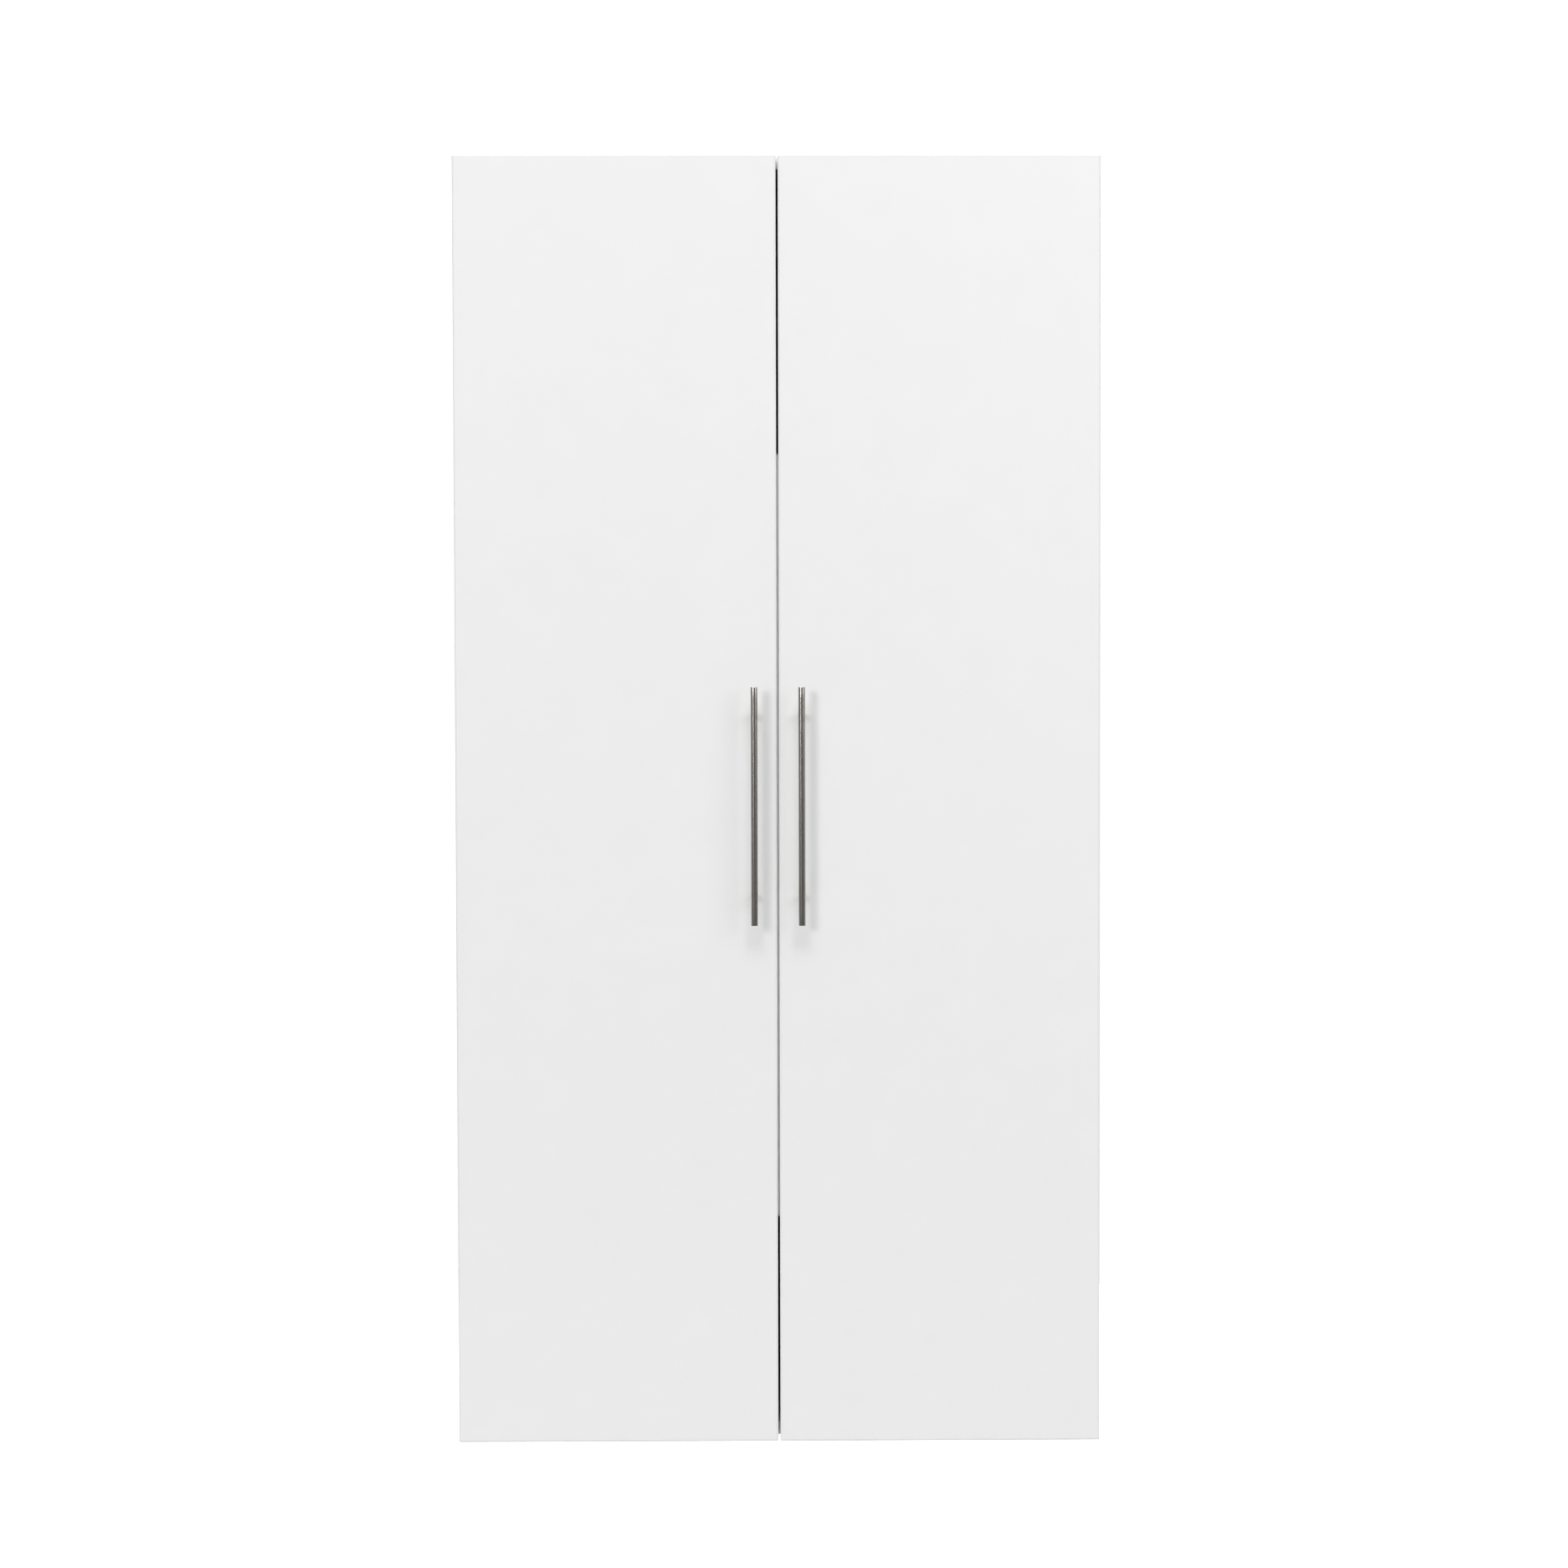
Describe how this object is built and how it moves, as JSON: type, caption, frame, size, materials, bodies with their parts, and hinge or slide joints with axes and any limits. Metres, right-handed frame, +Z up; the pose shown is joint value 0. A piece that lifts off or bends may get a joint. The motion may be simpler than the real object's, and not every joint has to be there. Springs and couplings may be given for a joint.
{
  "type": "wall-hung pantry cabinet",
  "caption": "Tall wall-hung pantry cabinet with a pair of full-height slab doors on concealed cup hinges, vertical bar handles, and fixed and adjustable shelves inside.",
  "frame": {"origin": "middle of the wall rail's four-hole screw pattern, on the wall plane", "axes": "+Z up, the doors face -Y and the back is on the plane y = 0, +X to the right of someone facing the doors"},
  "size_m": [0.914, 0.438, 1.828],
  "materials": {
    "door_melamine": "satin white melamine on chipboard with a matching edge band",
    "carcass_melamine": "satin white melamine on chipboard",
    "hardboard": "white-faced hardboard, bare brown on its wall side",
    "beech_dowel": "raw turned beech",
    "stainless_steel": "satin stainless tube and posts",
    "nickel_steel": "nickel-plated pressed steel",
    "pin_steel": "bright nickel-plated turned steel",
    "zinc_screws": "zinc-plated",
    "cast_zinc": "raw die-cast zinc",
    "white_plastic": "moulded white",
    "clear_bumper": "soft translucent"
  },
  "bodies": {
    "carcass": {"arm_screws_left": "zinc_screws", "arm_screws_right": "zinc_screws", "back_joiner_strip": "white_plastic", "back_panel_left": "hardboard", "back_panel_right": "hardboard", "bottom_panel": "carcass_melamine", "cam_bolts": "zinc_screws", "cam_covers": "white_plastic", "cam_locks": "cast_zinc", "centre_upright": "carcass_melamine", "dowels": "beech_dowel", "fixed_shelf_lower": "carcass_melamine", "fixed_shelf_upper": "carcass_melamine", "hanging_rail": "carcass_melamine", "hinge_arms_left": "nickel_steel", "hinge_arms_right": "nickel_steel", "hinge_plates_left": "nickel_steel", "hinge_plates_right": "nickel_steel", "lower_back_rail": "carcass_melamine", "plate_screws_left": "zinc_screws", "plate_screws_right": "zinc_screws", "shelf_left_lower": "carcass_melamine", "shelf_left_upper": "carcass_melamine", "shelf_pins": "pin_steel", "shelf_right_lower": "carcass_melamine", "shelf_right_upper": "carcass_melamine", "side_panel_left": "carcass_melamine", "side_panel_right": "carcass_melamine", "top_panel": "carcass_melamine", "wall_rail": "carcass_melamine"},
    "left_door": {"cup_screws_left": "zinc_screws", "door_bumpers_left": "clear_bumper", "door_panel_left": "door_melamine", "handle_bar_left": "stainless_steel", "handle_posts_left": "stainless_steel", "handle_screws_left": "zinc_screws", "hinge_cups_left": "nickel_steel", "hinge_pins_left": "pin_steel"},
    "right_door": {"cup_screws_right": "zinc_screws", "door_bumpers_right": "clear_bumper", "door_panel_right": "door_melamine", "handle_bar_right": "stainless_steel", "handle_posts_right": "stainless_steel", "handle_screws_right": "zinc_screws", "hinge_cups_right": "nickel_steel", "hinge_pins_right": "pin_steel"}
  },
  "joints": [
    {"name": "left_door_swing", "type": "hinge", "parent": "carcass", "child": "left_door", "pos_m": [-0.4495, -0.396, -0.7725], "axis": [0, 0, -1], "range_deg": [0, 95]},
    {"name": "right_door_swing", "type": "hinge", "parent": "carcass", "child": "right_door", "pos_m": [0.4495, -0.396, -0.7725], "axis": [0, 0, 1], "range_deg": [0, 95]}
  ]
}
